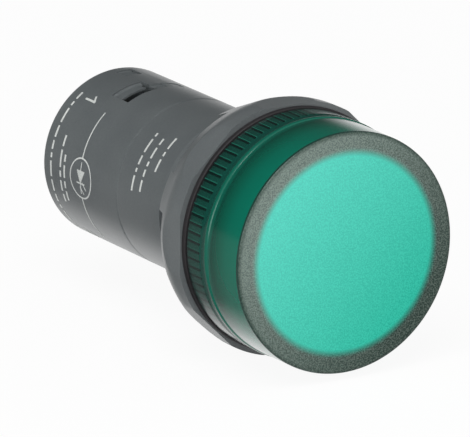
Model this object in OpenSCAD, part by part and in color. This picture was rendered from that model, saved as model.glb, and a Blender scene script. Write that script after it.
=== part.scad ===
// Panel pilot light for a 22 mm panel hole.
// The lens faces -Y, the terminals face +Y and +Z is up.
// The origin lies on the axis, in the plane where the gasket meets the panel.
// Sub-parts are drawn along a local axis: local +Z runs from the lens to the rear rim.

/* [Lens] */
// Diameter of the lens at the edge of its front face
lens_d = 30.1; // [29.4:0.1:30.2]
// Growth of the lens radius from the front face to the bead
lens_draft = 0.05; // [0:0.05:0.3]
// Thickness of the front face
lens_face_t = 1.2; // [0.8:0.1:1.6]
// Thickness of the side wall round the diffuser
lens_wall = 2.3; // [2:0.1:2.4]
// Rounding between the front face and the side wall
edge_round = 0.4; // [0.1:0.1:0.6]
// Distance from the front face to the middle of the bead
bead_pos = 7.5; // [6.8:0.1:7.8]
// Width of the bead
bead_w = 0.8; // [0.4:0.1:1]
// Height of the bead above the side wall
bead_h = 0.14; // [0.05:0.01:0.3]
// Diameter of the fluted grip band
band_d = 30.4; // [30.3:0.1:31.4]
// Length of the fluted grip band
band_len = 2.9; // [2:0.1:3.2]
// Number of flutes round the grip band
flute_count = 88; // [60:1:100]
// Depth of a flute
flute_depth = 0.24; // [0.1:0.02:0.3]
// Width of a flute at the surface
flute_w = 0.4; // [0.2:0.05:0.5]

/* [Head] */
// Length of the head, from the front face to the panel
head_len = 12.65; // [12.4:0.05:13.6]
// Thickness of the panel gasket
gasket_t = 0.8; // [0.5:0.05:1.2]
// How far the gasket's edge lies inside the grip band
gasket_inset = 0.05; // [0:0.05:0.5]
// How far the flange behind the gasket reaches past the seal ring
flange_lip = 0.05; // [0:0.05:0.1]
// Thickness of that flange
flange_t = 0.85; // [0.6:0.05:1.1]
// Outer diameter of the spigot that carries the lens
spigot_d = 25.1; // [24.9:0.1:25.2]
// Height of a bayonet lug
lug_h = 0.62; // [0.5:0.02:0.7]
// Length of a bayonet lug along the axis
lug_len = 1.1; // [0.8:0.1:1.2]
// Angle that a bayonet lug covers
lug_angle = 28; // [20:1:32]
// Section of the seal ring between lens and flange
seal_section = 1.15; // [1:0.05:1.2]

/* [Light] */
// Thickness of the diffuser disc
diffuser_t = 1; // [0.6:0.1:1.2]
// Diameter of the light source board
led_board_d = 21.8; // [21:0.1:21.9]
// Thickness of both circuit boards
board_t = 1.2; // [0.8:0.1:1.6]
// Side of one square light source
led_side = 3; // [2.2:0.1:3.4]
// Height of one light source
led_h = 1.4; // [0.8:0.1:2]
// Distance of each light source from the axis
led_ring_r = 4.4; // [3.5:0.1:5]

/* [Shank] */
// Length behind the panel, to the rear rim
rear_len = 41.35; // [41.2:0.05:46]
// Outer diameter of the body behind the thread
tube_d = 21.5; // [21.4:0.05:21.7]
// Inner diameter of the body
bore_d = 18.6; // [18.4:0.1:18.8]
// Crest diameter of the mounting thread
thread_d = 22.1; // [21.9:0.05:22.2]
// Pitch of the mounting thread
thread_pitch = 1.5; // [1:0.1:2]
// Length of the mounting thread
thread_len = 11.1; // [10.8:0.1:12]
// Distance from the panel to the seam between the two housings
seam_pos = 23.15; // [22.5:0.05:23.8]
// Rounding of the rear rim
rim_round = 0.4; // [0.1:0.1:0.6]

/* [Nut] */
// How far the nut's flats stand out past the grip band
nut_overhang = 0.1; // [0:0.05:0.4]
// Height of the nut's corners above its flats
nut_corner = 0.45; // [0.3:0.05:0.8]
// Length of the cylindrical front of the nut
nut_rim_len = 1.5; // [1:0.1:2]
// Radius of the shoulder that turns the rim into the cone
nut_shoulder_r = 8; // [6:0.5:9]
// Slope of the cone, from the axis
nut_slope = 21; // [18:0.5:23]
// Length of the tall ribs
tall_rib_len = 9.5; // [9:0.1:10]
// Length of the short ribs
short_rib_len = 7.5; // [7:0.1:8]
// Length of the cone in front of the deep windows
long_cone_len = 6.3; // [6:0.1:6.6]
// Length of the cone in front of the shallow windows
short_cone_len = 5.4; // [5:0.1:5.8]
// Outer diameter of the collar behind the cone
collar_d = 23.9; // [23.8:0.1:24.4]
// Full length of the nut, to the end of the collar
nut_len = 11; // [10.6:0.1:11.3]
// Depth of the cut-outs in the collar
collar_cut = 1.5; // [0.5:0.1:2]
// Diameter of the relief in the rear of the nut
relief_d = 23; // [22.6:0.1:23.1]

/* [Terminals] */
// Distance of each terminal from the axis
term_off = 5.2; // [5.1:0.05:5.3]
// Thread diameter of a terminal screw
screw_d = 3; // [2.6:0.1:3]
// Head diameter of a terminal screw
screw_head_d = 5; // [4.6:0.1:5.2]
// Head height of a terminal screw
screw_head_h = 1.9; // [1.4:0.1:2.1]
// Depth of the screw head below the rear face
screw_sink = 1.2; // [0.8:0.1:1.4]
// Width of the opening in a clamp cage
cage_in_w = 3.6; // [3.2:0.1:3.7]
// Height of the opening in a clamp cage
cage_in_h = 4; // [3.6:0.1:4.1]
// Wall of a clamp cage
cage_wall = 1; // [0.8:0.1:1]
// Length of a clamp cage along the wire
cage_len = 5; // [4:0.1:5.2]
// Travel of a clamp cage
cage_travel = 2.6; // [2:0.1:2.7]
// Thickness of a contact bar
bar_t = 1; // [0.8:0.1:1.1]

/* [Latches] */
// Distance from the panel to the front edge of the large latch windows
latch_pos = 30.05; // [29.8:0.05:30.4]
// Length of the large latch windows
latch_len = 4.1; // [3.6:0.1:4.3]
// Angle that a large latch window covers
latch_angle = 23.5; // [18:0.5:25]
// Direction of the middle of a large latch window, from the left side upwards
latch_dir = 73.75; // [70:0.25:74]
// Distance from the panel to the front edge of the small latch windows
small_latch_pos = 37.3; // [37:0.05:37.6]
// Length of the small latch windows
small_latch_len = 2.6; // [2:0.1:2.7]
// Angle that a small latch window covers
small_latch_angle = 12.5; // [9:0.5:15]

/* [Hidden] */
$fn = 96;

// Clearances
turn_gap = 0.08;    // between lens and spigot, which turn on each other
seat_gap = 0.1;     // between pieces that are dropped into each other
soft_gap = 0.15;    // beside the seal and the gasket
run_gap = 0.05;     // between a screw and its thread, and between nut and shank
loose_gap = 0.35;   // between ends that never touch
cut = 0.1;          // how far a cutting shape passes the surface that it cuts

// Places along the axis, from the panel, lens side negative
face_z = -head_len;
lens_rear_z = -gasket_t - soft_gap;
face_inner_z = face_z + lens_face_t;
flange_front_z = -gasket_t - flange_t;
seal_z = flange_front_z - seal_section / 2 - cut / 2;
recess_z = seal_z - seal_section / 2 - soft_gap;
lens_lug_z = recess_z - seat_gap - lug_len;
spigot_lug_z = lens_lug_z - 2 * seat_gap - lug_len;
spigot_front_z = spigot_lug_z - seat_gap;
step_z = spigot_front_z - 3 * seat_gap;
led_board_z = -gasket_t - flange_t - board_t + seat_gap / 2;
led_ledge_z = led_board_z + board_t;
reflector_top_z = face_inner_z + diffuser_t + loose_gap;
rim_z = rear_len;
block_rear_z = rim_z - loose_gap;

// Radii of the head
lens_r = lens_d / 2;
bead_r = lens_r + lens_draft;
cavity_r = lens_r - lens_wall;
spigot_r = spigot_d / 2;
lens_lug_r = spigot_r + turn_gap;
spigot_lug_r = spigot_r + lug_h;
skirt_r = spigot_lug_r + turn_gap;
seal_mid_r = spigot_r + seat_gap / 2 + seal_section / 2;
flange_r = seal_mid_r + seal_section / 2 + flange_lip;
recess_r = flange_r + soft_gap;
led_seat_r = led_board_d / 2 + seat_gap;
gasket_r = band_d / 2 - gasket_inset;
nut_flat_r = band_d / 2 + nut_overhang;
nut_r = nut_flat_r + nut_corner;

// Body
tube_r = tube_d / 2;
bore_r = bore_d / 2;
thread_r = thread_d / 2;
thread_depth = 0.5;
thread_start = 0.6;
joint_r = (tube_r + bore_r) / 2;
joint_len = 3;
seam_chamfer = 0.1;     // how deep the chamfer beside the seam is
seam_chamfer_len = 0.26;  // and how long

// Terminal block
block_front_z = seam_pos + joint_len + loose_gap;
block_r = bore_r - seat_gap;
well_r = screw_head_d / 2 + 0.3;
shank_hole_r = screw_d / 2 + 0.2;
head_under_z = block_rear_z - screw_sink - screw_head_h;
shelf_t = 1;
shelf_z = head_under_z - shelf_t;
cage_out_w = cage_in_w + 2 * cage_wall;
cage_out_h = cage_in_h + 2 * cage_wall;
cage_top_z = shelf_z - seat_gap - cage_travel;
cage_z = cage_top_z - cage_out_h;
bar_z = cage_top_z - cage_wall - run_gap - bar_t;
bar_w = cage_in_w - 0.4;
tail_w = 2;
tail_reach = 4;
bar_end_gap = 0.2;
tail_t = 0.8;
tail_x = -4.4;
wire_z = cage_z + cage_wall;
wire_h = bar_z - wire_z;
wire_w = cage_in_w + 0.2;

// Supply board, on its edges in the bore
board_face_x = tail_x + tail_t;
board_w = 2 * sqrt(pow(bore_r - seat_gap, 2) - pow(board_face_x, 2));
board_front_z = led_ledge_z + seat_gap;
board_rear_z = block_front_z + 1;
part_face_x = board_face_x + board_t;

// Pieces on the supply board
pin_side = 0.64;
pin_off = 3.2;
pin_x = part_face_x;
pin_len = 6;
pin_sink = 0.4;
rectifier_size = [2.4, 4.6, 6.2];
rectifier_z = 16.5;
capacitor_d = 6.3;
capacitor_len = 8;
capacitor_z = 5.5;
resistor_d = 2;
resistor_len = 5.8;

// Sends local +Z to the rear of the object
module along_axis() {
  rotate([-90, 0, 0]) children();
}

// Turns local +X to a direction given from the left side (-X) upwards
module turn_to(angle) {
  rotate([0, 0, 180 + angle]) children();
}

// The upper and the lower terminal side
module both_sides() {
  children();
  mirror([0, 1, 0]) children();
}

// Terminal 1 lies above the axis and terminal 2 below it
module terminal_side(number) {
  mirror([0, number == 1 ? 1 : 0, 0]) children();
}

// A piece of a ring, its middle on local +X
module ring_piece(r_in, r_out, z, len, angle) {
  rotate([0, 0, -angle / 2])
    translate([0, 0, z])
      rotate_extrude(angle = angle)
        translate([r_in, 0]) square([r_out - r_in, len]);
}

// A turned piece from a list of [radius, place along the axis]
module turned(outline) {
  rotate_extrude() polygon(outline);
}

function arc_points(cx, cz, r, from, to, steps) =
  [for (i = [0 : steps]) let (a = from + (to - from) * i / steps) [cx + r * cos(a), cz + r * sin(a)]];

// ---- Head ----

// Outline of the grip band: flat lands with a V-shaped flute between each two
function band_outline() =
  let (r = band_d / 2, pitch = 360 / flute_count, half = flute_w / band_d * 180 / PI)
  [for (i = [0 : flute_count - 1], p = [[-half, 0], [0, flute_depth], [half, 0]])
    let (a = i * pitch + p[0], q = r - p[1]) [q * cos(a), q * sin(a)]];

module lens_shell() {
  turned(concat(
    [[0, face_z]],
    arc_points(lens_r - edge_round, face_z + edge_round, edge_round, -90, 0, 4),
    [[bead_r, face_z + bead_pos - bead_w / 2],
     [bead_r + bead_h, face_z + bead_pos - bead_w / 5],
     [bead_r + bead_h, face_z + bead_pos + bead_w / 5],
     [bead_r - 0.1, face_z + bead_pos + bead_w / 2],
     [bead_r - 0.1, lens_rear_z],
     [0, lens_rear_z]]));
}

module lens_cap() {
  color("#0a7a5e") along_axis() {
    difference() {
      union() {
        lens_shell();
        translate([0, 0, lens_rear_z - band_len])
          linear_extrude(band_len) polygon(band_outline());
      }
      translate([0, 0, face_inner_z]) cylinder(r = cavity_r, h = head_len);
      translate([0, 0, step_z]) cylinder(r = skirt_r, h = head_len);
      translate([0, 0, recess_z]) cylinder(r = recess_r, h = head_len);
    }
    for (i = [0 : 2])
      turn_to(90 + 120 * i)
        ring_piece(lens_lug_r, skirt_r + 0.4, lens_lug_z, lug_len, lug_angle);
  }
}

module diffuser_disc() {
  r = cavity_r - seat_gap;
  color("#d8f4ea") along_axis()
    turned([[0, face_inner_z], [r, face_inner_z], [r, face_inner_z + diffuser_t * 0.7],
            [r - diffuser_t * 0.3, face_inner_z + diffuser_t], [0, face_inner_z + diffuser_t]]);
}

module lens_seal() {
  color("#202022") along_axis()
    translate([0, 0, seal_z])
      rotate_extrude() translate([seal_mid_r, 0]) circle(d = seal_section);
}

module panel_gasket() {
  lip = gasket_t * 0.2;
  color("#29272a") along_axis()
    turned([[thread_r + seat_gap, -gasket_t], [gasket_r - lip, -gasket_t],
            [gasket_r, -gasket_t + lip], [gasket_r, -lip],
            [gasket_r - lip, 0], [thread_r + seat_gap, 0]]);
}

module reflector_cup() {
  base_r = led_seat_r - seat_gap;
  top_r = cavity_r - 0.3;
  lip = 0.5;
  neck_z = spigot_front_z - seat_gap;
  color("#f2f3ef") along_axis()
    turned([[led_ring_r + led_side * 0.8, led_board_z], [base_r, led_board_z],
            [base_r, neck_z], [top_r, neck_z - (top_r - base_r)], [top_r, reflector_top_z],
            [top_r - lip, reflector_top_z], [led_ring_r + led_side * 0.8, led_board_z - led_h]]);
}

module led_board() {
  color("#e4e6dc") along_axis()
    difference() {
      translate([0, 0, led_board_z]) cylinder(d = led_board_d, h = board_t);
      both_sides()
        translate([pin_x, pin_off, led_board_z - cut]) cube([pin_side, pin_side, board_t + 2 * cut]);
    }
}

// One light source: a white case with a shallow lit well
module led(number) {
  case_r = 0.3;
  color("#f0e9b0") along_axis()
    turn_to(90 * number)
      translate([led_ring_r, 0, led_board_z - led_h])
        difference() {
          linear_extrude(led_h)
            offset(r = case_r, $fn = 16) square(led_side - 2 * case_r, center = true);
          translate([0, 0, -cut]) cylinder(r1 = led_side * 0.4, r2 = led_side * 0.3, h = led_h * 0.3);
        }
}

// ---- Housings ----

// Crests of the mounting thread as rings, with flat lands
function thread_outline() =
  [for (z = [thread_start : thread_pitch : thread_len - thread_pitch / 2],
        p = [[0, 0.1], [thread_depth, 0.3], [thread_depth, 0.55], [0, 0.75]])
    [thread_r - thread_depth + p[0], z + p[1] * thread_pitch]];

module front_housing() {
  color("#5f6466") along_axis() {
    difference() {
      turned(concat(
        [[0, spigot_front_z], [spigot_r, spigot_front_z], [spigot_r, flange_front_z],
         [flange_r, flange_front_z], [flange_r, -gasket_t],
         [thread_r, -gasket_t], [thread_r, thread_start - 0.3],
         [thread_r - thread_depth, thread_start]],
        thread_outline(),
        [[thread_r - thread_depth, thread_len], [tube_r, thread_len + 0.1],
         [tube_r, seam_pos - seam_chamfer_len], [tube_r - seam_chamfer, seam_pos],
         [joint_r, seam_pos], [joint_r, seam_pos + joint_len], [0, seam_pos + joint_len]]));
      translate([0, 0, spigot_front_z - cut])
        cylinder(r = led_seat_r, h = led_ledge_z - spigot_front_z + cut);
      translate([0, 0, spigot_front_z]) cylinder(r = bore_r, h = rear_len);
    }
    for (i = [0 : 2])
      turn_to(90 + 120 * i)
        ring_piece(spigot_r - 0.4, spigot_lug_r, spigot_lug_z, lug_len, lug_angle);
  }
}

// A window through the wall of the rear housing, with the latch land in front of its neighbour
module latch_windows() {
  turn_to(latch_dir)
    ring_piece(bore_r - 1, tube_r + 1, latch_pos, latch_len, latch_angle);
  turn_to(latch_dir + 0.9 * latch_angle)
    ring_piece(tube_r - 0.4, tube_r + 1, latch_pos + cut, latch_len / 2 - cut, latch_angle);
  turn_to(90)
    ring_piece(bore_r - 1, tube_r + 1, small_latch_pos, small_latch_len, small_latch_angle);
}

module rear_housing() {
  port_w = wire_w + 0.3;
  port_h = wire_h + 0.6;
  color("#5f6466") along_axis()
    difference() {
      turned(concat(
        [[bore_r, seam_pos + joint_len + seat_gap], [joint_r + seat_gap / 2, seam_pos + joint_len + seat_gap],
         [joint_r + seat_gap / 2, seam_pos], [tube_r - seam_chamfer, seam_pos],
         [tube_r, seam_pos + seam_chamfer_len]],
        arc_points(tube_r - rim_round, rim_z - rim_round, rim_round, 0, 90, 4),
        [[bore_r, rim_z]]));
      both_sides() latch_windows();
      both_sides()
        translate([0, term_off - port_w / 2, wire_z - 0.3]) cube([tube_r + 1, port_w, port_h]);
    }
}

// ---- Terminals ----

// A sprung hook of the terminal block, standing in a latch window
module hook(window_pos, window_len, window_angle) {
  tip = window_pos + window_len * 0.42;
  heel = window_pos + window_len - seat_gap;
  side_gap = 0.5;
  rotate([0, 0, -window_angle / 2 + side_gap])
    rotate_extrude(angle = window_angle - 2 * side_gap)
      polygon([[block_r - 0.6, tip], [block_r + 0.25, tip], [tube_r - 0.15, heel], [block_r - 0.6, heel]]);
}

module terminal_pocket() {
  pocket_l = cage_len + 0.4;
  pocket_w = cage_out_w + 0.3;
  translate([0, term_off, head_under_z]) cylinder(r = well_r, h = rear_len);
  translate([0, term_off, shelf_z - cut]) cylinder(r = shank_hole_r, h = shelf_t + 2 * cut);
  translate([-pocket_l / 2, term_off - pocket_w / 2, cage_z - seat_gap])
    cube([pocket_l, pocket_w, shelf_z - cage_z + seat_gap]);
  translate([0, term_off - wire_w / 2, wire_z]) cube([tube_r, wire_w, wire_h]);
  translate([tail_x - seat_gap, term_off - tail_w / 2 - seat_gap, block_front_z - cut])
    cube([tail_t + 2 * seat_gap, tail_w + 2 * seat_gap, bar_z - block_front_z + cut]);
  translate([tail_x - seat_gap, term_off - bar_w / 2 - seat_gap, bar_z - seat_gap])
    cube([-tail_x, bar_w + 2 * seat_gap, bar_t + 2 * seat_gap]);
}

module terminal_block() {
  slot_x = board_face_x - seat_gap / 2;
  color("#4c5052") along_axis() {
    difference() {
      union() {
        translate([0, 0, block_front_z]) cylinder(r = block_r, h = block_rear_z - block_front_z);
        both_sides() {
          turn_to(latch_dir) hook(latch_pos, latch_len, latch_angle);
          turn_to(90) hook(small_latch_pos, small_latch_len, small_latch_angle);
        }
      }
      both_sides() terminal_pocket();
      translate([slot_x, -bore_r, block_front_z - cut])
        cube([board_t + seat_gap, 2 * bore_r, board_rear_z + seat_gap - block_front_z + cut]);
    }
  }
}

// A bar that carries the current from the clamp to the supply board
module contact_bar(number) {
  color("#c9a24a") along_axis()
    terminal_side(number) {
      translate([tail_x, term_off - bar_w / 2, bar_z])
        cube([cage_len / 2 - tail_x - bar_end_gap, bar_w, bar_t]);
      translate([tail_x, term_off - tail_w / 2, board_rear_z - tail_reach])
        cube([tail_t, tail_w, bar_z + bar_t - board_rear_z + tail_reach]);
    }
}

// The rising cage that presses the wire against the contact bar
module clamp_cage(number) {
  color("#c8ccce") along_axis()
    terminal_side(number)
      difference() {
        translate([-cage_len / 2, term_off - cage_out_w / 2, cage_z])
          cube([cage_len, cage_out_w, cage_out_h]);
        translate([-cage_len, term_off - cage_in_w / 2, cage_z + cage_wall])
          cube([2 * cage_len, cage_in_w, cage_in_h]);
        translate([0, term_off, cage_top_z - cage_wall - cut])
          cylinder(r = screw_d / 2 + run_gap, h = cage_wall + 2 * cut);
      }
}

module terminal_screw(number) {
  slot_w = 0.7;
  slot_t = screw_head_h * 0.55;
  top_z = head_under_z + screw_head_h;
  crown = 0.3;
  tip_z = bar_z + bar_t + run_gap;
  head_r = screw_head_d / 2;
  color("#b9bdc0") along_axis()
    terminal_side(number)
      translate([0, term_off, 0])
        difference() {
          turned([[0, tip_z], [screw_d / 2 - crown, tip_z], [screw_d / 2, tip_z + crown],
                  [screw_d / 2, head_under_z], [head_r, head_under_z], [head_r, top_z - crown],
                  [head_r - crown, top_z], [0, top_z]]);
          translate([-screw_head_d, -slot_w / 2, top_z - slot_t])
            cube([2 * screw_head_d, slot_w, slot_t + cut]);
          translate([-slot_w / 2, -head_r * 0.6, top_z - slot_t])
            cube([slot_w, head_r * 1.2, slot_t + cut]);
        }
}

// ---- Circuit ----

module supply_board() {
  color("#2f6b45") along_axis()
    translate([board_face_x, -board_w / 2, board_front_z])
      cube([board_t, board_w, board_rear_z - board_front_z]);
}

module bridge_rectifier() {
  lead = 0.5;
  color("#1f2022") along_axis()
    translate([part_face_x, 0, rectifier_z]) {
      translate([0, -rectifier_size[1] / 2, 0]) cube(rectifier_size);
      for (y = [-1, 1], z = [0.2, 0.8])
        translate([0, y * (rectifier_size[1] / 2 + lead) - lead, rectifier_size[2] * z - lead / 2])
          cube([lead, 2 * lead, lead]);
    }
}

module smoothing_capacitor() {
  groove = 0.25;
  r = capacitor_d / 2;
  color("#3b4a63") along_axis()
    translate([part_face_x + r, 0, capacitor_z])
      turned([[0, 0], [r, 0], [r, 0.8], [r - groove, 1.1], [r - groove, 1.5], [r, 1.8],
              [r, capacitor_len - groove], [r - groove, capacitor_len], [0, capacitor_len]]);
}

module resistor(number) {
  cap_len = 1;
  r = resistor_d / 2;
  waist = 0.12;
  color("#a9743c") along_axis()
    terminal_side(number)
      translate([part_face_x + r, capacitor_d / 2 + resistor_d, capacitor_z + cap_len])
        turned([[0, 0], [r, 0], [r, cap_len], [r - waist, cap_len + waist],
                [r - waist, resistor_len - cap_len - waist], [r, resistor_len - cap_len],
                [r, resistor_len], [0, resistor_len]]);
}

// A square pin that joins the light source board to the supply board
module board_pin(number) {
  color("#d8c070") along_axis()
    terminal_side(number)
      translate([pin_x, pin_off, led_board_z - pin_sink]) cube([pin_side, pin_side, pin_len]);
}

module mounting_nut_profile() {
  top_r = nut_r;
  turn_z = nut_rim_len;
  bend = arc_points(top_r - nut_shoulder_r, turn_z, nut_shoulder_r, 0, nut_slope, 5);
  last = bend[len(bend) - 1];
  end_r = last[0] - (tall_rib_len - last[1]) * tan(nut_slope);
  turned(concat([[0, 0], [top_r - 0.2, 0], [top_r, 0.2]], bend,
                [[end_r, tall_rib_len], [0, tall_rib_len]]));
}

// Cuts behind the cone, for one third of the nut: deep window, short rib, shallow window
module rib_cuts() {
  r_in = collar_d / 2 - cut;
  turn_to(49.75) ring_piece(r_in, nut_r + 1, long_cone_len, nut_len, 40.5);
  turn_to(19.75) ring_piece(r_in, nut_r + 1, short_rib_len, nut_len, 19.6);
  turn_to(-10.1) ring_piece(r_in, nut_r + 1, short_cone_len, nut_len, 40.6);
}

module mounting_nut_cone() {
  difference() {
    mounting_nut_profile();
    for (i = [0 : 7])
      rotate([0, 0, 45 * i])
        translate([nut_flat_r, -nut_r, -cut]) cube([nut_r, 2 * nut_r, nut_len]);
    for (i = [0 : 2])
      rotate([0, 0, 120 * i]) rib_cuts();
  }
}

module mounting_nut() {
  relief_len = 2.4;
  color("#66696b") along_axis()
    difference() {
      union() {
        mounting_nut_cone();
        cylinder(d = collar_d, h = nut_len);
      }
      for (i = [0 : 2])
        turn_to(120 * i - 10) ring_piece(bore_r, nut_r + 1, nut_len - collar_cut, nut_len, 39.6);
      translate([0, 0, -cut]) cylinder(r = thread_r + run_gap, h = nut_len + 2 * cut);
      translate([0, 0, nut_len - relief_len]) cylinder(d = relief_d, h = nut_len);
    }
}

lens_cap();
diffuser_disc();
lens_seal();
panel_gasket();
mounting_nut();
front_housing();
rear_housing();
terminal_block();
reflector_cup();
led_board();
led(1);  // led_1
led(2);  // led_2
led(3);  // led_3
led(4);  // led_4
supply_board();
bridge_rectifier();
smoothing_capacitor();
resistor(1);  // resistor_1
resistor(2);  // resistor_2
board_pin(1);  // board_pin_1
board_pin(2);  // board_pin_2
contact_bar(1);  // contact_bar_1
contact_bar(2);  // contact_bar_2
clamp_cage(1);  // clamp_cage_1
clamp_cage(2);  // clamp_cage_2
terminal_screw(1);  // terminal_screw_1
terminal_screw(2);  // terminal_screw_2
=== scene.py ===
"""Looks of a panel pilot light: green lens cap, gasket, fixing nut, tubular body, terminals.

The axis runs along +Y from the lens to the terminals. Sizes are in millimetres where a helper
multiplies them by mm, and in metres in Blender. Directions round the axis are in degrees from the
left side (-X) upwards.
"""

import math

import bpy
from mathutils import Matrix, Vector


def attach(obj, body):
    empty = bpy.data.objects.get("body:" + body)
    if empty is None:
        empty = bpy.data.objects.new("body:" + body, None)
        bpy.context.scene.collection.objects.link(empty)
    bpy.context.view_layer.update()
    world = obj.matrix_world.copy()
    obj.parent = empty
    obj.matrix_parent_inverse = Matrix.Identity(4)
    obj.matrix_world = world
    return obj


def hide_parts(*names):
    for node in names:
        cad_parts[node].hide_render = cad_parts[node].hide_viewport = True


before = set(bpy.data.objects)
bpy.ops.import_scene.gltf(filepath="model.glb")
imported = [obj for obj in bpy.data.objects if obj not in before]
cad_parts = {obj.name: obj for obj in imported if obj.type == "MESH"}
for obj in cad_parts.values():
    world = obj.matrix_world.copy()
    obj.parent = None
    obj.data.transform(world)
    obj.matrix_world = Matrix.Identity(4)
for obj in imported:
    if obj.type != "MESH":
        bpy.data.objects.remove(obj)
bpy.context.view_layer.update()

mm = 0.001
axis_y = (0.0, 1.0, 0.0)
centre = (0.0, 0.0, 0.0)
touching = 0.001
fine_turn = 240
crease_angle = 28.0


# ---- Camera ----

focal_length = 571.7
camera_place = (-0.4466, -0.7370, 0.2435)
camera_right = (0.8592, -0.5116, 0.0)
camera_back = (-0.4925, -0.8270, 0.2706)


def make_camera():
    data = bpy.data.cameras.new("studio_camera")
    data.lens, data.sensor_width = focal_length, 36.0
    data.clip_start, data.clip_end = 0.01, 20.0
    camera = bpy.data.objects.new("studio_camera", data)
    bpy.context.collection.objects.link(camera)
    back = Vector(camera_back).normalized()
    up = back.cross(Vector(camera_right).normalized()).normalized()
    right = up.cross(back).normalized()
    turn = Matrix((right, up, back)).transposed().to_4x4()
    turn.translation = Vector(camera_place)
    camera.matrix_world = turn
    bpy.context.scene.camera = camera


make_camera()


# ---- Modelling helpers ----

def deselect_all():
    if bpy.context.object and bpy.context.object.mode == "EDIT":
        bpy.ops.object.mode_set(mode="OBJECT")
    bpy.ops.object.select_all(action="DESELECT")


def make_active(piece):
    deselect_all()
    piece.select_set(True)
    bpy.context.view_layer.objects.active = piece


def draw_outline(name, points):
    """A piece of one vertex extruded from point to point, left in edit mode."""
    deselect_all()
    bpy.ops.mesh.primitive_plane_add(size=mm, location=centre)
    piece = bpy.context.object
    piece.name = piece.data.name = name
    bpy.ops.object.mode_set(mode="EDIT")
    bpy.ops.mesh.select_mode(type="VERT")
    bpy.ops.mesh.select_all(action="SELECT")
    bpy.ops.mesh.merge(type="CENTER")
    bpy.ops.transform.translate(value=points[0])
    for last, point in zip(points, points[1:]):
        bpy.ops.mesh.extrude_vertices_move(TRANSFORM_OT_translate={"value": point - last})
    bpy.ops.mesh.select_all(action="SELECT")
    bpy.ops.mesh.remove_doubles(threshold=touching * mm)
    return piece


def close_skin():
    """In edit mode, merges the doubles and turns every face outwards."""
    bpy.ops.mesh.select_all(action="SELECT")
    bpy.ops.mesh.remove_doubles(threshold=touching * mm)
    bpy.ops.mesh.normals_make_consistent(inside=False)
    bpy.ops.object.mode_set(mode="OBJECT")


def turned_piece(name, outline, steps=192, angle=360.0, start=0.0, closed=False):
    """Spins an outline of (radius, place on the axis) about the axis, from a start direction."""
    across = Vector((-math.cos(math.radians(start)), 0.0, math.sin(math.radians(start))))
    points = [across * (r * mm) + Vector((0.0, y * mm, 0.0)) for r, y in outline]
    if closed:
        points.append(points[0])
    piece = draw_outline(name, points)
    if angle < 360.0:
        bpy.ops.mesh.edge_face_add()
    bpy.ops.mesh.spin(steps=steps, angle=-math.radians(angle), center=centre, axis=axis_y)
    close_skin()
    return piece


def arc(cx, cy, r, first, last, count):
    """Points of an arc in an outline, angles in degrees from the outward radius."""
    steps = [math.radians(first + (last - first) * i / count) for i in range(count + 1)]
    return [(cx + r * math.cos(a), cy + r * math.sin(a)) for a in steps]


def finish_modifier(piece, kind, **settings):
    make_active(piece)
    modifier = piece.modifiers.new(kind.lower(), kind)
    for key, value in settings.items():
        setattr(modifier, key, value)
    bpy.ops.object.modifier_apply(modifier=modifier.name)


def cut_away(piece, cutters, operation="DIFFERENCE"):
    """Cuts the cutters from the piece, or joins them to it, and deletes them."""
    for cutter in cutters:
        finish_modifier(piece, "BOOLEAN", operation=operation, object=cutter, solver="EXACT")
        bpy.data.objects.remove(cutter)


def soften_edges(piece, width):
    finish_modifier(
        piece, "BEVEL", width=width * mm, segments=2, limit_method="ANGLE",
        angle_limit=math.radians(crease_angle), use_clamp_overlap=True, miter_outer="MITER_ARC",
    )


def merge_flat_faces(piece, angle=0.5):
    """Joins faces that lie in one plane, and points that lie on each other."""
    make_active(piece)
    bpy.ops.object.mode_set(mode="EDIT")
    bpy.ops.mesh.select_all(action="SELECT")
    bpy.ops.mesh.remove_doubles(threshold=0.002 * mm)
    bpy.ops.mesh.dissolve_limited(angle_limit=math.radians(angle))
    bpy.ops.object.mode_set(mode="OBJECT")


def smooth(piece, angle=crease_angle):
    make_active(piece)
    bpy.ops.object.shade_smooth_by_angle(angle=math.radians(angle))
    finish_modifier(piece, "WEIGHTED_NORMAL", keep_sharp=True)


def block(name, low, high):
    """A cutter between two corners."""
    deselect_all()
    middle = [(a + b) / 2 * mm for a, b in zip(low, high)]
    bpy.ops.mesh.primitive_cube_add(size=1.0, location=middle)
    piece = bpy.context.object
    piece.name = name
    piece.scale = [(b - a) * mm for a, b in zip(low, high)]
    bpy.ops.object.transform_apply(location=True, rotation=True, scale=True)
    return piece


def sector(name, r_in, r_out, low, high, first, last):
    """A piece of a ring between two directions, used as a cutter or a lug."""
    outline = [(r_in, low), (r_out, low), (r_out, high), (r_in, high)]
    return turned_piece(name, outline, 24, last - first, first, closed=True)


def three_sectors(name, r_in, r_out, low, high, first, last):
    """Three sectors a third of a turn apart."""
    return [
        sector(name, r_in, r_out, low, high, 120 * i + first, 120 * i + last) for i in range(3)
    ]


def above_and_below(first, last):
    """The same stretch, of directions or of heights, above and below the axis."""
    return [(first, last), (-last, -first)]


def dressed_copy(name, node, width):
    """A copy of a CAD node with its doubles merged, its flats joined and its edges softened."""
    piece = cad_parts[node].copy()
    piece.data = piece.data.copy()
    piece.parent = None
    piece.name = piece.data.name = name
    bpy.context.collection.objects.link(piece)
    piece.data.materials.clear()
    merge_flat_faces(piece, 1.0)
    if width:
        soften_edges(piece, width)
    smooth(piece)
    return piece


# ---- Lens ----

face_y = -12.65
face_edge_r = 0.28
lens_rear_y = -0.95
band_front_y = -3.85
band_r = 15.2
flutes = 88
flute_depth = 0.24
steps_per_flute = 6
lug_directions = (76, 104)


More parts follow.
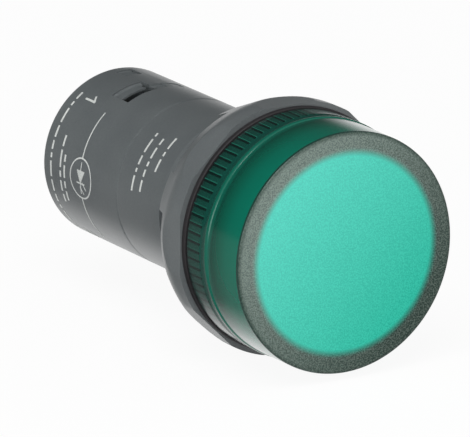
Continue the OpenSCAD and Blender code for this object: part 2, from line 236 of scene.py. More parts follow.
def make_lens_cap():
    face = [(0.0, face_y)] + arc(14.78, face_y + face_edge_r, face_edge_r, -90, 0, 6)
    bead = [(15.1, -5.6), (15.17, -5.5), (15.23, -5.32), (15.24, -5.15), (15.23, -4.98)]
    bead += [(15.15, -4.82), (15.08, -4.72), (15.06, -4.5), (15.08, -4.2)]
    band = [(band_r - 0.07, band_front_y), (band_r, band_front_y + 0.2)]
    band += [(band_r, lens_rear_y - 0.06), (band_r - 0.06, lens_rear_y)]
    cavity = [(13.95, lens_rear_y), (13.95, -3.0), (13.25, -3.0), (13.25, -5.9)]
    cavity += [(12.75, -5.9), (12.75, -11.6), (12.6, -11.45), (0.0, -11.45)]
    lens = turned_piece("green_lens_cap", face + bead + band + cavity, flutes * steps_per_flute)
    make_active(lens)
    per_step = 2 * math.pi / (flutes * steps_per_flute)
    for vertex in lens.data.vertices:
        x, y, z = vertex.co / mm
        step = round(math.atan2(z, -x) / per_step)
        on_band = math.hypot(x, z) > band_r - 0.09 and y > band_front_y - 0.01
        vertex.select = on_band and step % steps_per_flute == 0
    bpy.ops.object.mode_set(mode="EDIT")
    groove = (band_r - flute_depth) / band_r
    bpy.ops.transform.resize(value=(groove, 1.0, groove), center_override=centre)
    bpy.ops.object.mode_set(mode="OBJECT")
    cut_away(lens, three_sectors("lens_lug", 12.63, 13.6, -4.2, -3.1, *lug_directions), "UNION")
    smooth(lens, 24.0)
    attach(lens, "lens")
    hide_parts("lens_cap")
    return lens


lens_cap = make_lens_cap()


# ---- Gasket ----

gasket_front_y = -0.8
gasket_edge_r = 0.16


def make_gasket():
    rim = arc(14.99, gasket_front_y + gasket_edge_r, gasket_edge_r, -90, 0, 4)
    rim += arc(14.99, -gasket_edge_r, gasket_edge_r, 0, 90, 4)
    outline = [(11.15, gasket_front_y)] + rim + [(11.15, 0.0)]
    gasket = turned_piece("panel_gasket_ring", outline, closed=True)
    smooth(gasket)
    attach(gasket, "housing")
    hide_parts("panel_gasket")
    return gasket


gasket = make_gasket()


# ---- Fixing nut ----

flat_reach = 15.3
nut_corner_r = 15.75
rib_foot_y = 5.4
# Each step of the cone: its rear end, the radius there, and the directions where it rises
cone_steps = [
    (6.3, 14.477, [(10.5, 90.0)]),
    (7.5, 14.016, [(10.5, 30.0), (70.5, 90.0)]),
    (9.5, 13.248, [(70.5, 90.0)]),
]


def direction_of(point):
    return math.degrees(math.atan2(point[2], -point[0]))


def press_flats(piece, reach, outside):
    """Presses eight flats, at one distance from the axis, into the rim outside a radius."""
    for vertex in piece.data.vertices:
        radius = math.hypot(vertex.co.x, vertex.co.z) / mm
        off = (direction_of(vertex.co) + 22.5) % 45.0 - 22.5
        flat = reach / math.cos(math.radians(off))
        if radius > outside and radius > flat:
            vertex.co.x *= flat / radius
            vertex.co.z *= flat / radius


def raise_ribs(nut, low, high, stretches, shrink):
    """Extrudes the rear faces at one height, within the stretches, along the cone."""
    mesh = nut.data
    make_active(nut)
    for part in (mesh.vertices, mesh.edges, mesh.polygons):
        part.foreach_set("select", [False] * len(part))
    for face in mesh.polygons:
        turn = direction_of(face.center) % 120
        in_stretch = any(first < turn < last for first, last in stretches)
        face.select = face.normal.y > 0.99 and abs(face.center.y / mm - low) < 0.01 and in_stretch
    bpy.ops.object.mode_set(mode="EDIT")
    bpy.ops.mesh.select_mode(type="FACE")
    bpy.ops.mesh.extrude_region_move(
        TRANSFORM_OT_translate={"value": (0.0, (high - low) * mm, 0.0)}
    )
    bpy.ops.mesh.select_mode(type="VERT")
    bpy.ops.object.mode_set(mode="OBJECT")
    for part in (mesh.edges, mesh.polygons):
        part.foreach_set("select", [False] * len(part))
    for vertex in mesh.vertices:
        outside = math.hypot(vertex.co.x, vertex.co.z) > 12.5 * mm
        vertex.select = outside and abs(vertex.co.y / mm - high) < 0.01
    bpy.ops.object.mode_set(mode="EDIT")
    bpy.ops.transform.resize(value=(shrink, 1.0, shrink), center_override=centre)
    bpy.ops.object.mode_set(mode="OBJECT")


def make_nut():
    end_y, end_r = rib_foot_y, 14.822
    outline = [(11.8, 0.0)] + [(nut_corner_r, y) for y in (0.0, 0.5, 1.0)]
    outline += arc(7.75, 1.5, 8.0, 0, 21, 14) + [(end_r, end_y), (11.8, end_y)]
    nut = turned_piece("castellated_nut", outline, fine_turn, closed=True)
    press_flats(nut, flat_reach, 15.0)
    for rib_y, rib_r, stretches in cone_steps:
        raise_ribs(nut, end_y, rib_y, stretches, rib_r / end_r)
        end_y, end_r = rib_y, rib_r
    merge_flat_faces(nut, 0.2)
    soften_edges(nut, 0.11)
    outline = [(11.1, 0.05), (11.95, 0.05), (11.95, 10.95), (11.9, 11.0), (11.5, 11.0)]
    outline += [(11.5, 8.6), (11.1, 8.6)]
    collar = turned_piece("nut_collar", outline, fine_turn, closed=True)
    cut_away(collar, three_sectors("collar_gap", 10.0, 17.0, 9.5, 12.0, -29.8, 9.8))
    cut_away(nut, [collar], "UNION")
    smooth(nut, 32.0)
    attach(nut, "nut")
    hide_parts("mounting_nut")
    return nut


nut = make_nut()


# ---- Housings ----

tube_r = 10.75
crest_r = 11.05
root_r = 10.55
thread_pitch = 1.5
thread_turns = 6
body_bore_r = 9.3
seam_y = 23.15
seam_chamfer = (0.1, 0.26)
rim_y = 41.35
rim_edge_r = 0.4


def make_thread():
    """The helical ridge of the fixing thread, its root just inside the shank."""
    start_y = 1.1
    ridge = [(root_r - 0.1, -0.45), (crest_r, -0.16), (crest_r, 0.16), (root_r - 0.1, 0.45)]
    points = [Vector((-r * mm, (start_y + y) * mm, 0.0)) for r, y in ridge + ridge[:1]]
    thread = draw_outline("thread_ridge", points)
    bpy.ops.object.mode_set(mode="OBJECT")
    finish_modifier(
        thread, "SCREW", axis="Y", angle=2 * math.pi, iterations=thread_turns,
        screw_offset=thread_pitch * mm, steps=96, render_steps=96,
    )
    make_active(thread)
    bpy.ops.object.mode_set(mode="EDIT")
    bpy.ops.mesh.select_all(action="SELECT")
    bpy.ops.mesh.remove_doubles(threshold=touching * mm)
    bpy.ops.mesh.fill_holes(sides=6)
    close_skin()
    return thread


def join(piece, others):
    make_active(piece)
    for other in others:
        other.select_set(True)
    bpy.ops.object.join()


def make_front_housing():
    """The spigot and flange, the thread's root, a groove behind it, the tube and its inner lip."""
    chamfer_r, chamfer_y = seam_chamfer
    spigot = [(11.0, -5.6), (12.45, -5.6), (12.55, -5.5), (12.55, -1.65)]
    flange = [(13.8, -1.65), (13.8, gasket_front_y), (crest_r, gasket_front_y), (crest_r, 0.3)]
    shank = [(root_r, 0.6), (root_r, 11.1), (tube_r, 11.2)]
    groove = [(tube_r, 11.9), (10.3, 11.95), (10.3, 12.7), (tube_r, 12.75)]
    tube = [(tube_r, seam_y - chamfer_y), (tube_r - chamfer_r, seam_y)]
    lip = [(10.025, seam_y), (10.025, 26.15), (body_bore_r, 26.15)]
    bore = [(body_bore_r, -1.6), (11.0, -1.6)]
    outline = spigot + flange + shank + groove + tube + lip + bore
    housing = turned_piece("front_housing_shell", outline, fine_turn, closed=True)
    lugs = three_sectors("spigot_lug", 12.2, 13.17, -5.5, -4.4, *lug_directions)
    cut_away(housing, lugs, "UNION")
    join(housing, [make_thread()])
    smooth(housing)
    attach(housing, "housing")
    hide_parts("front_housing")
    return housing


front_housing = make_front_housing()


def make_rear_housing():
    """The rear tube with its latch windows, the steps beside them, small windows and wire ports."""
    chamfer_r, chamfer_y = seam_chamfer
    outline = [(body_bore_r, 26.25), (10.075, 26.25), (10.075, seam_y)]
    outline += [(tube_r - chamfer_r, seam_y), (tube_r, seam_y + chamfer_y)]
    outline += arc(tube_r - rim_edge_r, rim_y - rim_edge_r, rim_edge_r, 0, 90, 6)
    outline += [(body_bore_r + 0.1, rim_y), (body_bore_r, rim_y - 0.1)]
    housing = turned_piece("rear_housing_shell", outline, fine_turn, closed=True)
    inside, outside = 8.3, 11.75
    cutters = []
    for name, floor_r, low, high, first, last in (
        ("latch_window", inside, 30.05, 34.15, 62.0, 85.5),
        ("latch_step", 10.5, 30.15, 32.1, 83.15, 95.0),
        ("latch_step_end", 10.68, 30.15, 32.1, 93.0, 106.65),
        ("small_window", inside, 37.3, 39.9, 83.75, 96.25),
    ):
        for stretch in above_and_below(first, last):
            cutters.append(sector(name, floor_r, outside, low, high, *stretch))
    for low, high in above_and_below(3.15, 7.25):
        cutters.append(block("wire_port", (0.0, 28.9, low), (12.0, 32.45, high)))
    cut_away(housing, cutters)
    merge_flat_faces(housing)
    soften_edges(housing, 0.07)
    smooth(housing)
    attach(housing, "housing")
    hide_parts("rear_housing")
    return housing


rear_housing = make_rear_housing()


# ---- Terminals ----

def latch_tongue(low, high, tip_r, heel_r, first, last):
    """A sprung tongue that fills the rear part of a window, higher at its tip than at its heel."""
    root = 8.9
    outline = [(root, low), (tip_r, low), (heel_r, high), (root, high)]
    return turned_piece("latch_tongue", outline, 16, last - first, first, closed=True)


def make_terminal_block():
    """The CAD block with its sprung tongues, hollow under the two large ones."""
    piece = dressed_copy("terminal_block_body", "terminal_block", 0.0)
    tongues = [
        latch_tongue(31.9, 34.05, 10.6, 10.4, *stretch) for stretch in above_and_below(62.5, 82.0)
    ]
    tongues += [
        latch_tongue(38.0, 39.8, 10.55, 10.5, *stretch) for stretch in above_and_below(84.3, 95.7)
    ]
    cut_away(piece, tongues, "UNION")
    cut_away(piece, [
        sector("latch_pocket", 6.8, 10.34, 30.1, 33.9, *stretch)
        for stretch in above_and_below(62.6, 85.2)
    ])
    merge_flat_faces(piece, 1.0)
    soften_edges(piece, 0.06)
    smooth(piece)
    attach(piece, "housing")
    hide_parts("terminal_block")
    return piece


terminal_block = make_terminal_block()


def make_terminal_screws():
    screws = []
    for number in (1, 2):
        piece = dressed_copy(f"clamp_screw_{number}", f"terminal_screw_{number}", 0.07)
        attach(piece, f"screw_{number}")
        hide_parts(f"terminal_screw_{number}")
        screws.append(piece)
    return screws


screws = make_terminal_screws()


# ---- Printed marks ----

mark_r = tube_r + 0.004
lead_width = 0.2


def wrap_mark(mark, around, along):
    """Lays a flat mark on the tube, its X round the tube and its Y along it."""
    make_active(mark)
    bpy.ops.object.transform_apply(location=True, rotation=True, scale=True)
    for vertex in mark.data.vertices:
        u, v = vertex.co.x, vertex.co.y
        turn = u / (tube_r * mm) + math.radians(around)
        r = mark_r * mm + vertex.co.z
        vertex.co = (-r * math.cos(turn), v + along * mm, r * math.sin(turn))
    bpy.ops.object.mode_set(mode="EDIT")
    bpy.ops.mesh.select_all(action="SELECT")
    bpy.ops.mesh.normals_make_consistent(inside=False)
    bpy.ops.object.mode_set(mode="OBJECT")


def ink_stroke(start, end, width=lead_width):
    """A flat stroke between two points, in pieces short enough to bend round the tube."""
    length = math.dist(start, end)
    pieces = max(1, round(length / 0.35))
    deselect_all()
    bpy.ops.mesh.primitive_grid_add(
        x_subdivisions=pieces, y_subdivisions=1, size=1.0, location=centre
    )
    stroke = bpy.context.object
    stroke.name = "ink_stroke"
    stroke.scale = ((length + width) * mm, width * mm, 1.0)
    stroke.rotation_euler = (0.0, 0.0, math.atan2(end[1] - start[1], end[0] - start[0]))
    stroke.location = ((start[0] + end[0]) / 2 * mm, (start[1] + end[1]) / 2 * mm, 0.0)
    bpy.ops.object.transform_apply(location=True, rotation=True, scale=True)
    return stroke


def ink_ring(radius):
    inner, outer = radius - lead_width / 2, radius + lead_width / 2
    deselect_all()
    bpy.ops.mesh.primitive_circle_add(vertices=72, radius=inner * mm, location=centre)
    ring = bpy.context.object
    ring.name = "ink_ring"
    grow = outer / inner
    bpy.ops.object.mode_set(mode="EDIT")
    bpy.ops.mesh.select_all(action="SELECT")
    bpy.ops.mesh.extrude_edges_move()
    bpy.ops.transform.resize(value=(grow, grow, 1.0), center_override=centre)
    bpy.ops.object.mode_set(mode="OBJECT")
    return ring


def ink_triangle(base, tip, half):
    """A filled triangle from its base to its tip, both on the X axis, as rows of strokes."""
    rows = []
    count = 7
    for i in range(count):
        share = (i + 0.5) / count
        u = base + (tip - base) * share
        reach = half * (1 - share)
        rows.append(ink_stroke((u, -reach), (u, reach), abs(tip - base) / count))
    return rows


def finish_mark(name, strokes, around, along, body="housing"):
    first = strokes[0]
    if len(strokes) > 1:
        join(first, strokes[1:])
    first.name = first.data.name = name
    finish_modifier(first, "SOLIDIFY", thickness=0.02 * mm, offset=1.0)
    wrap_mark(first, around, along)
    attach(first, body)
    return first


def make_symbol_mark():
    """The circuit symbol of a lamp diode in a circle, with a lead to each terminal."""
    strokes = [ink_ring(2.53)]
    strokes.append(ink_stroke((2.0, 0.0), (1.0, 0.0), 0.14))
    strokes.append(ink_stroke((-0.7, 0.0), (-1.9, 0.0), 0.14))
    strokes.append(ink_stroke((-0.62, -0.85), (-0.62, 0.85), 0.18))
    strokes += ink_triangle(1.0, -0.5, 0.85)
    for shift in (0.0, 0.6):
        start, end = (-0.5 - shift, -0.5 + shift), (-1.3 - shift, -1.2 + shift)
        strokes.append(ink_stroke(start, end, 0.12))
    strokes += [ink_stroke((2.6, 0.0), (8.8, 0.0)), ink_stroke((-2.6, 0.0), (-8.8, 0.0))]
    return finish_mark("lamp_symbol_mark", strokes, 0.8, 31.98)


def make_terminal_marks():
    """The plain numbers 1 and 2 beside the terminals, their tops towards the lens."""
    one = [ink_stroke((0.0, -1.0), (0.0, 1.0), 0.3), ink_stroke((0.0, -1.0), (0.7, -0.4), 0.28)]
    corners = [(0.65, -0.6), (0.3, -1.0), (-0.35, -1.0), (-0.65, -0.6), (-0.6, -0.2), (0.65, 1.0)]
    corners += [(-0.7, 1.0)]
    two = [ink_stroke(a, b, 0.28) for a, b in zip(corners, corners[1:])]
    return [
        finish_mark("terminal_number_1", one, 52.0, 36.6),
        finish_mark("terminal_number_2", two, -52.0, 36.6),
    ]


def make_data_row(name, along, first, last, lengths):
    """A row of plain dashes between two directions, in place of printed data."""
    width, gap = 0.34, 0.45
    strokes = []
    place = 0.0
    number = 0
    reach = math.radians(last - first) * tube_r
    while place < reach:
        length = min(lengths[number % len(lengths)], reach - place)
        if length > width:
            near, far = -place - width / 2, -place - length + width / 2
            strokes.append(ink_stroke((near, 0.0), (far, 0.0), width))
        place += length + gap
        number += 1
    return finish_mark(name, strokes, last, along)


def make_data_marks():
    return [
        make_data_row("data_row_1", 39.35, -52, 55, [1.1, 0.6, 2.0, 1.5]),
        make_data_row("data_row_2", 37.0, -22, 24, [1.4, 2.2, 0.8]),
        make_data_row("data_row_3", 36.0, -20, 12, [0.9, 1.6]),
        make_data_row("data_row_4", 19.6, 6, 50, [0.5, 1.9, 1.2]),
        make_data_row("data_row_5", 17.7, 10, 48, [0.9, 1.5, 0.6]),
        make_data_row("data_row_6", 15.6, 26, 52, [1.7, 0.6]),
    ]


marks = [make_symbol_mark()] + make_terminal_marks() + make_data_marks()


# ---- Materials ----

def srgb(red, green, blue):
    """A colour on the 0 to 255 scale as the linear values that the shader takes."""
    parts = [part / 255 for part in (red, green, blue)]
    linear = [p / 12.92 if p <= 0.04045 else ((p + 0.055) / 1.055) ** 2.4 for p in parts]
    return (*linear, 1.0)


def add_node(tree, kind, **settings):
    node = tree.nodes.new(kind)
    for key, value in settings.items():
        if key in node.inputs:
            node.inputs[key].default_value = value
        else:
            setattr(node, key, value)
    return node


def map_value(tree, source, low, high, to_low, to_high):
    """Maps a value from one range to another, clamped."""
    node = add_node(tree, "ShaderNodeMapRange", clamp=True)
    ends = {"From Min": low, "From Max": high, "To Min": to_low, "To Max": to_high}
    for name, value in ends.items():
        node.inputs[name].default_value = value
    tree.links.new(source, node.inputs["Value"])
    return node.outputs["Result"]


def math_value(tree, operation, *values):
    node = add_node(tree, "ShaderNodeMath", operation=operation)
    for socket, value in zip(node.inputs, values):
        if isinstance(value, (int, float)):
            socket.default_value = value
        else:
            tree.links.new(value, socket)
    return node.outputs["Value"]


def product(tree, first, second):
    return math_value(tree, "MULTIPLY", first, second)


def distance_from(tree, source, value):
    return math_value(tree, "ABSOLUTE", math_value(tree, "SUBTRACT", source, value))


def mix_colours(tree, factor, first, second):
    node = add_node(tree, "ShaderNodeMix", data_type="RGBA")
    for socket, value in zip([node.inputs[i] for i in (0, 6, 7)], (factor, first, second)):
        if hasattr(value, "links"):
            tree.links.new(value, socket)
        else:
            socket.default_value = value
    return node.outputs[2]


def colour_ramp(tree, source, stops):
    """A colour ramp from (place, colour) stops, the colours on the 0 to 255 scale."""
    stops = [(place, srgb(*colour)) for place, colour in stops]
    node = tree.nodes.new("ShaderNodeValToRGB")
    ramp = node.color_ramp
    ramp.elements[0].position, ramp.elements[0].color = stops[0]
    ramp.elements[1].position, ramp.elements[1].color = stops[-1]
    for place, colour in stops[1:-1]:
        ramp.elements.new(place).color = colour
    tree.links.new(source, node.inputs["Fac"])
    return node.outputs["Color"]


def new_group(name, inputs):
    """A group that puts out a colour, a roughness and a height."""
    group = bpy.data.node_groups.new(name, "ShaderNodeTree")
    for label, kind, value in inputs:
        socket = group.interface.new_socket(label, in_out="INPUT", socket_type=kind)
        socket.default_value = value
    group.interface.new_socket("Color", in_out="OUTPUT", socket_type="NodeSocketColor")
    group.interface.new_socket("Roughness", in_out="OUTPUT", socket_type="NodeSocketFloat")
    group.interface.new_socket("Height", in_out="OUTPUT", socket_type="NodeSocketFloat")
    return group, group.nodes.new("NodeGroupInput"), group.nodes.new("NodeGroupOutput")


def make_moulded_skin():
    """The skin of a moulded piece: slow clouds of tone, fine spark-eroded grain, uneven gloss."""
    group, given, result = new_group("moulded_skin", [
        ("Light", "NodeSocketColor", (0.2, 0.2, 0.2, 1.0)),
        ("Dark", "NodeSocketColor", (0.1, 0.1, 0.1, 1.0)),
        ("Grain Scale", "NodeSocketFloat", 4000.0),
        ("Gloss Low", "NodeSocketFloat", 0.3),
        ("Gloss High", "NodeSocketFloat", 0.5),
    ])
    place = add_node(group, "ShaderNodeTexCoord")
    clouds = add_node(group, "ShaderNodeTexNoise", Scale=160.0, Detail=3.0)
    grain = add_node(group, "ShaderNodeTexNoise", Detail=2.0)
    group.links.new(place.outputs["Object"], clouds.inputs["Vector"])
    group.links.new(place.outputs["Object"], grain.inputs["Vector"])
    group.links.new(given.outputs["Grain Scale"], grain.inputs["Scale"])
    tone = map_value(group, clouds.outputs["Fac"], 0.3, 0.7, 0.0, 0.6)
    fleck = map_value(group, grain.outputs["Fac"], 0.35, 0.65, 0.0, 0.4)
    share = math_value(group, "ADD", tone, fleck)
    colour = mix_colours(group, share, given.outputs["Dark"], given.outputs["Light"])
    gloss = add_node(group, "ShaderNodeMapRange")
    group.links.new(clouds.outputs["Fac"], gloss.inputs["Value"])
    group.links.new(given.outputs["Gloss Low"], gloss.inputs["To Min"])
    group.links.new(given.outputs["Gloss High"], gloss.inputs["To Max"])
    group.links.new(colour, result.inputs["Color"])
    group.links.new(gloss.outputs["Result"], result.inputs["Roughness"])
    group.links.new(grain.outputs["Fac"], result.inputs["Height"])
    return group


def make_metal_skin():
    """The skin of a turned or stamped metal piece: fine lines across it and dulled patches."""
    group, given, result = new_group("metal_skin", [
        ("Light", "NodeSocketColor", (0.6, 0.6, 0.6, 1.0)),
        ("Dark", "NodeSocketColor", (0.4, 0.4, 0.4, 1.0)),
        ("Line Scale", "NodeSocketFloat", 900.0),
    ])
    place = add_node(group, "ShaderNodeTexCoord")
    stretch = add_node(group, "ShaderNodeMapping", Scale=(1.0, 7.0, 0.35))
    lines = add_node(group, "ShaderNodeTexNoise", Detail=4.0)
    patches = add_node(group, "ShaderNodeTexNoise", Scale=350.0, Detail=2.0)
    group.links.new(place.outputs["Object"], stretch.inputs["Vector"])
    group.links.new(stretch.outputs["Vector"], lines.inputs["Vector"])
    group.links.new(given.outputs["Line Scale"], lines.inputs["Scale"])
    group.links.new(place.outputs["Object"], patches.inputs["Vector"])
    share = map_value(group, patches.outputs["Fac"], 0.35, 0.65, 0.0, 1.0)
    colour = mix_colours(group, share, given.outputs["Dark"], given.outputs["Light"])
    group.links.new(colour, result.inputs["Color"])
    gloss = map_value(group, lines.outputs["Fac"], 0.3, 0.7, 0.22, 0.42)
    group.links.new(gloss, result.inputs["Roughness"])
    group.links.new(lines.outputs["Fac"], result.inputs["Height"])
    return group


moulded_skin = make_moulded_skin()
metal_skin = make_metal_skin()


def new_material(name, **settings):
    material = bpy.data.materials.new(name)
    material.use_nodes = True
    shader = material.node_tree.nodes["Principled BSDF"]
    for key, value in settings.items():
        shader.inputs[key.replace("_", " ")].default_value = value
    return material, material.node_tree, shader


def add_bump(tree, shader, height, strength, depth):
    bump = add_node(tree, "ShaderNodeBump", Strength=strength, Distance=depth * mm)
    tree.links.new(height, bump.inputs["Height"])
    tree.links.new(bump.outputs["Normal"], shader.inputs["Normal"])


def wear_skin(tree, shader, group, values, strength, depth):
    """Places a skin group in a material, with the material's own values."""
    skin = add_node(tree, "ShaderNodeGroup", node_tree=group)
    for key, value in values.items():
        skin.inputs[key].default_value = value
    tree.links.new(skin.outputs["Color"], shader.inputs["Base Color"])
    tree.links.new(skin.outputs["Roughness"], shader.inputs["Roughness"])
    add_bump(tree, shader, skin.outputs["Height"], strength, depth)


def moulded_material(name, light, dark, gloss, grain=4000.0, **settings):
    material, tree, shader = new_material(name, **settings)
    values = {"Light": srgb(*light), "Dark": srgb(*dark), "Grain Scale": grain}
    values.update({"Gloss Low": gloss[0], "Gloss High": gloss[1]})
    wear_skin(tree, shader, moulded_skin, values, 0.25, 0.02)
    return material


def metal_material(name, light, dark):
    material, tree, shader = new_material(name, Metallic=1.0)
    values = {"Light": srgb(*light), "Dark": srgb(*dark), "Line Scale": 900.0}
    wear_skin(tree, shader, metal_skin, values, 0.3, 0.01)
    return material


face_scale = 16.0
disc_edge, ring_edge = 0.77, 0.81
side_colours = [
    (0.0, (26, 58, 50)), (0.03, (26, 58, 50)), (0.05, (2, 104, 84)), (0.25, (2, 98, 79)),
    (0.42, (4, 82, 65)), (0.53, (5, 66, 53)), (0.60, (12, 94, 77)), (0.64, (12, 88, 72)),
    (0.70, (12, 64, 55)), (0.90, (14, 60, 51)), (0.97, (14, 52, 45)), (0.99, (20, 34, 32)),
]


def lens_face_colour(tree, radius, painted_light_slant, fleck):
    """The bright disc, its border and the dull ring round it, flecked and pitted by the texture,
    each zone in a shaded and a lit copy: painted highlight towards the upper left, painted shade
    towards the lower right.
    """
    wavy = math_value(tree, "ADD", radius, product(tree, fleck, 0.008))

    def face_zones(disc, border, ring, rim):
        zones = [(0.0, disc), (0.745, disc), (0.775, border), (0.80, ring), (0.895, ring)]
        return colour_ramp(tree, wavy, zones + [(0.925, rim), (0.95, rim)])

    # Painted light: every zone has a shaded and a lit colour, mixed so the face is lighter towards
    # the upper left and darker towards the lower right.
    shaded = face_zones((0, 176, 150), (14, 114, 96), (27, 49, 41), (16, 38, 32))
    lit = face_zones((90, 213, 195), (100, 168, 154), (130, 146, 139), (46, 68, 60))
    face = mix_colours(tree, painted_light_slant, shaded, lit)
    pale_stops = [(disc_edge, (100, 224, 202)), (ring_edge, (124, 137, 128))]
    pale = colour_ramp(tree, radius, pale_stops)
    speckle = product(tree, fleck, map_value(tree, radius, disc_edge, ring_edge, 0.15, 0.36))
    flecked = mix_colours(tree, speckle, face, pale)
    pit = map_value(tree, radius, disc_edge, ring_edge, 0.15, 0.52)
    pitted = product(tree, math_value(tree, "SUBTRACT", 1.0, fleck), pit)
    return mix_colours(tree, pitted, flecked, srgb(10, 34, 28))


def lens_side_colour(tree, x, z, depth):
    """The clear side from front to rear, with a painted shade line in each flute's groove and a
    painted highlight line on one edge of each flute, fainter towards the bottom.
    """
    along = math_value(tree, "DIVIDE", depth, lens_rear_y - face_y)
    side = colour_ramp(tree, along, side_colours)
    turn = math_value(tree, "ARCTAN2", z, product(tree, x, -1.0))
    per_turn = flutes / (2 * math.pi)
    phase = math_value(
        tree, "FRACT", math_value(tree, "MULTIPLY_ADD", turn, per_turn, flutes + 0.5)
    )
    band_depth = band_front_y - face_y
    on_band = map_value(tree, depth, band_depth - 0.05, band_depth + 0.05, 0.0, 1.0)
    groove = distance_from(tree, phase, 0.5)
    # Painted shade: a dark line along the middle of each flute's groove, where shade falls.
    painted_groove_shade = product(tree, map_value(tree, groove, 0.1, 0.2, 0.92, 0.0), on_band)
    lit_edge = distance_from(tree, phase, 0.72)
    # Painted highlight: a light line on one edge of each flute, fainter towards the bottom.
    lit_line = product(tree, map_value(tree, lit_edge, 0.02, 0.09, 0.4, 0.0), on_band)
    lit_line = product(tree, lit_line, map_value(tree, z, -2.0, 8.0, 0.1, 1.0))
    side = mix_colours(tree, painted_groove_shade, side, srgb(4, 22, 20))
    return mix_colours(tree, lit_line, side, srgb(40, 128, 108))


def make_lens_material():
    """Green moulded plastic: a bright disc behind a textured face, a clear side, a fluted band,
    with painted light and shade on the face and along the flutes.
    """
    material, tree, shader = new_material(
        "green_lens", Coat_Roughness=0.15, Specular_IOR_Level=0.25
    )
    place = add_node(tree, "ShaderNodeTexCoord").outputs["Object"]
    split = add_node(tree, "ShaderNodeSeparateXYZ")
    tree.links.new(place, split.inputs["Vector"])
    x, y, z = [product(tree, split.outputs[name], 1.0 / mm) for name in "XYZ"]
    depth = math_value(tree, "ADD", y, -face_y)
    square = math_value(tree, "ADD", product(tree, x, x), product(tree, z, z))
    radius = math_value(tree, "DIVIDE", math_value(tree, "SQRT", square), face_scale)
    # Painted light: the mix from the face's painted shade at the lower right to its painted
    # highlight at the upper left.
    painted_light_slant = map_value(tree, math_value(tree, "SUBTRACT", z, x), -19.0, 19.0, 0.0, 1.0)
    grain = add_node(tree, "ShaderNodeTexNoise", Scale=5600.0, Detail=2.0)
    tree.links.new(place, grain.inputs["Vector"])
    fleck = map_value(tree, grain.outputs["Fac"], 0.38, 0.62, 0.0, 1.0)

    face = lens_face_colour(tree, radius, painted_light_slant, fleck)
    side = lens_side_colour(tree, x, z, depth)
    on_face = map_value(tree, depth, 0.03, 0.2, 1.0, 0.0)
    colour = mix_colours(tree, on_face, side, face)
    roughness = map_value(tree, on_face, 0.0, 1.0, 0.2, 0.45)
    coat = map_value(tree, on_face, 0.0, 1.0, 0.75, 0.0)
    tree.links.new(colour, shader.inputs["Base Color"])
    tree.links.new(roughness, shader.inputs["Roughness"])
    tree.links.new(coat, shader.inputs["Coat Weight"])
    add_bump(tree, shader, product(tree, grain.outputs["Fac"], on_face), 0.5, 0.03)
    return material


def make_print_material():
    """Pale pad-printed ink, a little thin in places."""
    return moulded_material(
        "printed_ink", (212, 215, 211), (176, 180, 178), (0.5, 0.65), grain=6000.0
    )


def give(pieces, material):
    for piece in pieces:
        if piece.material_slots:
            for slot in piece.material_slots:
                slot.material = material
        else:
            piece.data.materials.append(material)


def nodes(*names):
    return [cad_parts[name] for name in names]


body_grey = dict(Coat_Weight=0.35, Coat_Roughness=0.24)
give(
    [front_housing, rear_housing],
    moulded_material("housing_plastic", (98, 103, 104), (86, 91, 93), (0.3, 0.42), **body_grey),
)
give(
    [nut],
    moulded_material("nut_plastic", (102, 107, 108), (90, 95, 97), (0.32, 0.44), **body_grey),
)
give(
    [terminal_block],
    moulded_material("block_plastic", (94, 99, 100), (82, 87, 89), (0.38, 0.5)),
)
give([lens_cap], make_lens_material())
give(
    [gasket],
    moulded_material("gasket_rubber", (34, 31, 34), (22, 20, 22), (0.55, 0.75), grain=3000.0),
)
give(marks, make_print_material())
give(screws, metal_material("nickel_plate", (200, 200, 198), (168, 169, 168)))
give(
    nodes("clamp_cage_1", "clamp_cage_2"),
    metal_material("zinc_plate", (196, 200, 204), (160, 165, 170)),
)
give(
    nodes("contact_bar_1", "contact_bar_2", "board_pin_1", "board_pin_2"),
    metal_material("contact_brass_sheet", (222, 190, 120), (190, 152, 84)),
)
give(
    nodes("lens_seal"),
    moulded_material("seal_rubber", (42, 42, 44), (26, 26, 28), (0.4, 0.6), grain=3000.0),
)
give(
    nodes("diffuser_disc"),
    moulded_material("opal_diffuser", (232, 242, 236), (214, 228, 221), (0.4, 0.55)),
)
give(
    nodes("reflector_cup"),
    moulded_material("reflector_plastic", (240, 241, 236), (228, 230, 226), (0.15, 0.3)),
)
give(
    nodes("led_board"),
    moulded_material("white_board_mask", (228, 228, 216), (210, 212, 200), (0.25, 0.4)),
)
give(
    nodes("led_1", "led_2", "led_3", "led_4"),
    moulded_material("led_case_plastic", (240, 226, 168), (226, 206, 130), (0.2, 0.35)),
)
give(
    nodes("supply_board"),
    moulded_material("green_board_mask", (38, 112, 72), (24, 92, 56), (0.25, 0.4)),
)
give(
    nodes("bridge_rectifier"),
    moulded_material("part_resin", (44, 44, 46), (30, 30, 32), (0.4, 0.6)),
)
give(
    nodes("smoothing_capacitor"),
    moulded_material("capacitor_film", (62, 78, 104), (46, 60, 86), (0.2, 0.32), Coat_Weight=0.4),
)
give(
    nodes("resistor_1", "resistor_2"),
    moulded_material(
        "resistor_lacquer", (178, 126, 70), (152, 102, 54), (0.25, 0.4), Coat_Weight=0.3
    ),
)


# ---- Studio ----

floor_z = -15.8
paper_grey = (0.92, 0.92, 0.92, 1.0)
paper_glow = 0.93
white = (1.0, 1.0, 1.0, 1.0)
panel_direction = (0.49, 0.83, -0.27)


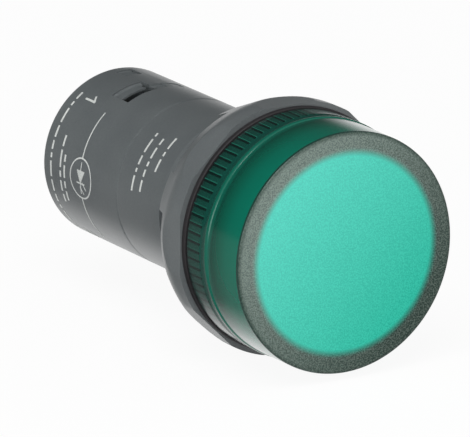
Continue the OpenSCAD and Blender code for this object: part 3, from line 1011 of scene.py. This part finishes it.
def make_floor():
    """White paper, plain white to the camera and fading to the left in its reflections."""
    deselect_all()
    bpy.ops.mesh.primitive_plane_add(size=6.0, location=(0.0, 0.0, floor_z * mm))
    floor = bpy.context.object
    floor.name = "studio_floor"
    bpy.ops.object.transform_apply(location=True, rotation=True, scale=True)
    material, tree, shader = new_material("studio_floor", Roughness=0.9)
    shader.inputs["Base Color"].default_value = paper_grey
    glow = add_node(tree, "ShaderNodeEmission", Strength=1.0)
    blend = add_node(tree, "ShaderNodeMixShader")
    path = add_node(tree, "ShaderNodeLightPath")
    place = add_node(tree, "ShaderNodeTexCoord")
    split = add_node(tree, "ShaderNodeSeparateXYZ")
    tree.links.new(place.outputs["Object"], split.inputs["Vector"])
    in_camera, in_gloss = path.outputs["Is Camera Ray"], path.outputs["Is Glossy Ray"]
    fade = map_value(tree, split.outputs["X"], -0.018, -0.008, 0.15, 1.0)
    strength = math_value(tree, "MAXIMUM", in_camera, product(tree, in_gloss, fade))
    tree.links.new(strength, glow.inputs["Strength"])
    seen = math_value(tree, "MAXIMUM", in_camera, in_gloss)
    seen = math_value(tree, "MAXIMUM", seen, path.outputs["Is Transmission Ray"])
    tree.links.new(product(tree, seen, paper_glow), blend.inputs["Fac"])
    tree.links.new(shader.outputs["BSDF"], blend.inputs[1])
    tree.links.new(glow.outputs["Emission"], blend.inputs[2])
    tree.links.new(blend.outputs["Shader"], tree.nodes["Material Output"].inputs["Surface"])
    floor.data.materials.append(material)


def make_world():
    """A pale room, dim at the back but for one white panel, white where the camera looks at it."""
    world = bpy.data.worlds.new("studio_room")
    bpy.context.scene.world = world
    world.use_nodes = True
    tree = world.node_tree
    room = tree.nodes["Background"]
    place = add_node(tree, "ShaderNodeTexCoord")
    split = add_node(tree, "ShaderNodeSeparateXYZ")
    towards = add_node(tree, "ShaderNodeVectorMath", operation="DOT_PRODUCT")
    towards.inputs[1].default_value = panel_direction
    tree.links.new(place.outputs["Generated"], split.inputs["Vector"])
    tree.links.new(place.outputs["Generated"], towards.inputs[0])
    front = map_value(tree, split.outputs["Y"], -0.4, 0.5, 0.7, 0.04)
    panel = map_value(tree, towards.outputs["Value"], 0.88, 0.98, 0.0, 1.0)
    room.inputs["Color"].default_value = white
    tree.links.new(math_value(tree, "MAXIMUM", front, panel), room.inputs["Strength"])
    backdrop = add_node(tree, "ShaderNodeBackground", Strength=1.0)
    backdrop.inputs["Color"].default_value = white
    path = add_node(tree, "ShaderNodeLightPath")
    blend = add_node(tree, "ShaderNodeMixShader")
    tree.links.new(path.outputs["Is Camera Ray"], blend.inputs["Fac"])
    tree.links.new(room.outputs["Background"], blend.inputs[1])
    tree.links.new(backdrop.outputs["Background"], blend.inputs[2])
    tree.links.new(blend.outputs["Shader"], tree.nodes["World Output"].inputs["Surface"])


def make_light(name, place, size, power):
    data = bpy.data.lights.new(name, "AREA")
    data.shape = "DISK"
    data.size = size
    data.energy = power
    light = bpy.data.objects.new(name, data)
    bpy.context.collection.objects.link(light)
    light.location = place
    light.rotation_euler = (-Vector(place)).to_track_quat("-Z", "Y").to_euler()


make_floor()
make_world()
make_light("key_light", (-0.45, -0.5, 0.95), 0.8, 8.0)
make_light("fill_light", (-1.0, -0.35, 0.1), 0.9, 5.0)
bpy.context.scene.view_settings.view_transform = "Standard"
